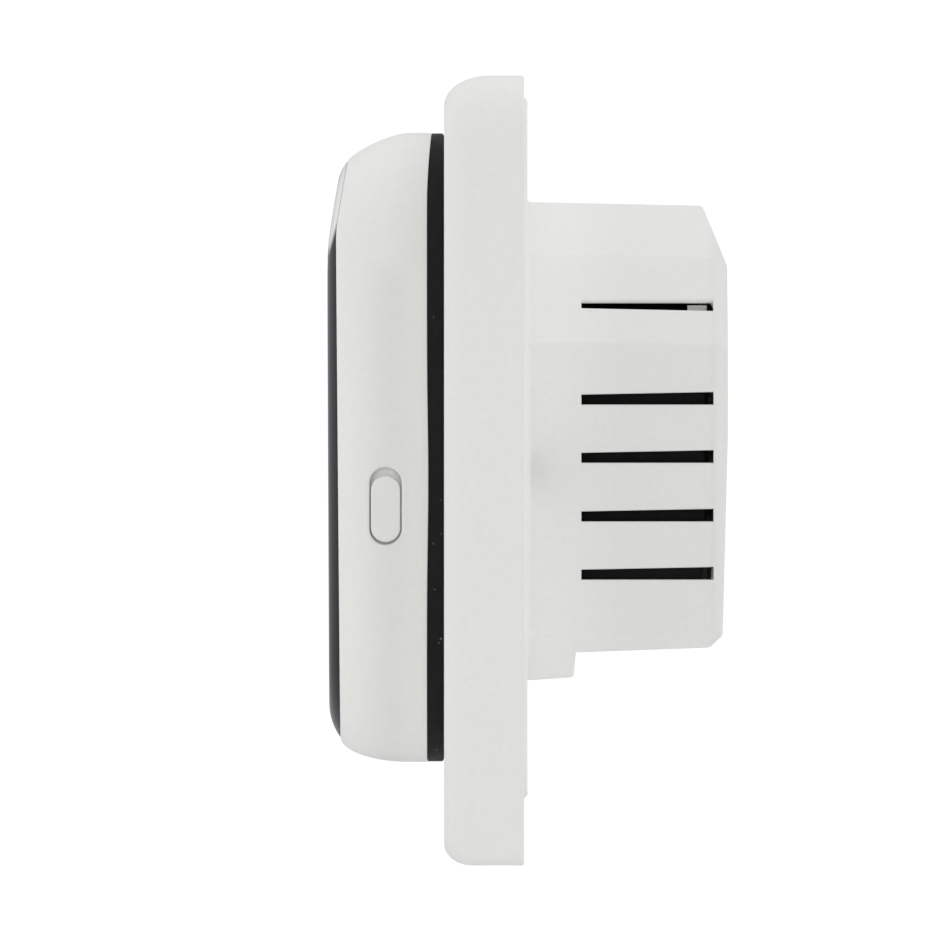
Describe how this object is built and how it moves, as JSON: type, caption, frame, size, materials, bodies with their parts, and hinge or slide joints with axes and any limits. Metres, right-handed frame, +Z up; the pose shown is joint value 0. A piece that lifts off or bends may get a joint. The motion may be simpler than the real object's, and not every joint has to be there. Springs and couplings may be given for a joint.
{
  "type": "wall thermostat",
  "caption": "Flush-mounted square wall thermostat with a domed glossy front module, side power slider, cover frame and vented rear housing with screw terminals.",
  "frame": {"origin": "middle of the square cover frame, on the wall plane that the flange's back lies on", "axes": "+Y into the wall, so the front faces -Y; +Z up as hung; +X to the right seen from the front"},
  "size_m": [0.086, 0.0437, 0.086],
  "materials": {
    "white_abs": "fine satin moulded white plastic",
    "black_abs": "satin black moulded plastic",
    "glossy_black": "polished glossy black lens",
    "slider_white": "satin white moulded plastic",
    "adhesive": "dark foam tape",
    "display_glass": "liquid crystal cell",
    "diffuser": "milky light guide",
    "board": "green solder mask",
    "component_black": "black epoxy or moulded case",
    "capacitor_blue": "blue sleeve or lacquer",
    "film_yellow": "yellow moulded case",
    "sensor_epoxy": "epoxy bead",
    "terminal_black": "black flame-retardant plastic",
    "zinc_steel": "zinc-plated steel",
    "brass_cage": "plated brass",
    "glass_tube": "glass fuse tube"
  },
  "bodies": {
    "base": {"rear_housing": "white_abs", "base_cover": "white_abs", "housing_screw_1": "zinc_steel", "housing_screw_2": "zinc_steel", "housing_screw_3": "zinc_steel", "housing_screw_4": "zinc_steel", "power_pcb": "board", "base_socket": "black_abs", "terminal_block": "terminal_black", "relay_1": "component_black", "relay_2": "component_black", "relay_3": "component_black", "transformer": "capacitor_blue", "film_capacitor": "film_yellow", "smoothing_capacitor": "component_black", "varistor": "capacitor_blue", "fuse": "glass_tube"},
    "cover_frame": {"outer_frame": "white_abs"},
    "control_module": {"module_shell": "white_abs", "front_lens": "glossy_black", "lens_adhesive": "adhesive", "display_panel": "display_glass", "display_backlight": "diffuser", "display_holder": "black_abs", "control_pcb": "board", "microcontroller": "component_black", "buzzer": "component_black", "backup_capacitor": "capacitor_blue", "room_sensor": "sensor_epoxy", "slide_switch_body": "component_black", "module_plug": "black_abs", "module_rear_cover": "black_abs", "cover_screw_1": "zinc_steel", "cover_screw_2": "zinc_steel", "cover_screw_3": "zinc_steel", "cover_screw_4": "zinc_steel"},
    "power_slider": {"power_slider": "slider_white"},
    "terminal_screw_1": {"terminal_screw_1": "zinc_steel"},
    "clamp_cage_1": {"clamp_cage_1": "brass_cage"},
    "terminal_screw_2": {"terminal_screw_2": "zinc_steel"},
    "clamp_cage_2": {"clamp_cage_2": "brass_cage"},
    "terminal_screw_3": {"terminal_screw_3": "zinc_steel"},
    "clamp_cage_3": {"clamp_cage_3": "brass_cage"},
    "terminal_screw_4": {"terminal_screw_4": "zinc_steel"},
    "clamp_cage_4": {"clamp_cage_4": "brass_cage"},
    "terminal_screw_5": {"terminal_screw_5": "zinc_steel"},
    "clamp_cage_5": {"clamp_cage_5": "brass_cage"},
    "terminal_screw_6": {"terminal_screw_6": "zinc_steel"},
    "clamp_cage_6": {"clamp_cage_6": "brass_cage"}
  },
  "joints": [
    {"name": "frame_pull", "type": "slide", "parent": "base", "child": "cover_frame", "axis": [0, -1, 0], "range_m": [0, 0.03]},
    {"name": "module_pull", "type": "slide", "parent": "cover_frame", "child": "control_module", "axis": [0, -1, 0], "range_m": [0, 0.03]},
    {"name": "power_slide", "type": "slide", "parent": "control_module", "child": "power_slider", "axis": [0, 0, 1], "range_m": [0, 0.0008]},
    {"name": "clamp_rise_1", "type": "slide", "parent": "base", "child": "clamp_cage_1", "axis": [0, 1, 0], "range_m": [0, 0.0015]},
    {"name": "screw_turn_1", "type": "hinge", "parent": "base", "child": "terminal_screw_1", "pos_m": [-0.01905, 0.0188, -0.013], "axis": [0, -1, 0], "range_deg": [0, 1080]},
    {"name": "clamp_rise_2", "type": "slide", "parent": "base", "child": "clamp_cage_2", "axis": [0, 1, 0], "range_m": [0, 0.0015]},
    {"name": "screw_turn_2", "type": "hinge", "parent": "base", "child": "terminal_screw_2", "pos_m": [-0.01143, 0.0188, -0.013], "axis": [0, -1, 0], "range_deg": [0, 1080]},
    {"name": "clamp_rise_3", "type": "slide", "parent": "base", "child": "clamp_cage_3", "axis": [0, 1, 0], "range_m": [0, 0.0015]},
    {"name": "screw_turn_3", "type": "hinge", "parent": "base", "child": "terminal_screw_3", "pos_m": [-0.00381, 0.0188, -0.013], "axis": [0, -1, 0], "range_deg": [0, 1080]},
    {"name": "clamp_rise_4", "type": "slide", "parent": "base", "child": "clamp_cage_4", "axis": [0, 1, 0], "range_m": [0, 0.0015]},
    {"name": "screw_turn_4", "type": "hinge", "parent": "base", "child": "terminal_screw_4", "pos_m": [0.00381, 0.0188, -0.013], "axis": [0, -1, 0], "range_deg": [0, 1080]},
    {"name": "clamp_rise_5", "type": "slide", "parent": "base", "child": "clamp_cage_5", "axis": [0, 1, 0], "range_m": [0, 0.0015]},
    {"name": "screw_turn_5", "type": "hinge", "parent": "base", "child": "terminal_screw_5", "pos_m": [0.01143, 0.0188, -0.013], "axis": [0, -1, 0], "range_deg": [0, 1080]},
    {"name": "clamp_rise_6", "type": "slide", "parent": "base", "child": "clamp_cage_6", "axis": [0, 1, 0], "range_m": [0, 0.0015]},
    {"name": "screw_turn_6", "type": "hinge", "parent": "base", "child": "terminal_screw_6", "pos_m": [0.01905, 0.0188, -0.013], "axis": [0, -1, 0], "range_deg": [0, 1080]}
  ],
  "couplings": [
    {"joint": "screw_turn_1", "follows": "clamp_rise_1", "rad_per_m": 12566},
    {"joint": "screw_turn_2", "follows": "clamp_rise_2", "rad_per_m": 12566},
    {"joint": "screw_turn_3", "follows": "clamp_rise_3", "rad_per_m": 12566},
    {"joint": "screw_turn_4", "follows": "clamp_rise_4", "rad_per_m": 12566},
    {"joint": "screw_turn_5", "follows": "clamp_rise_5", "rad_per_m": 12566},
    {"joint": "screw_turn_6", "follows": "clamp_rise_6", "rad_per_m": 12566}
  ]
}
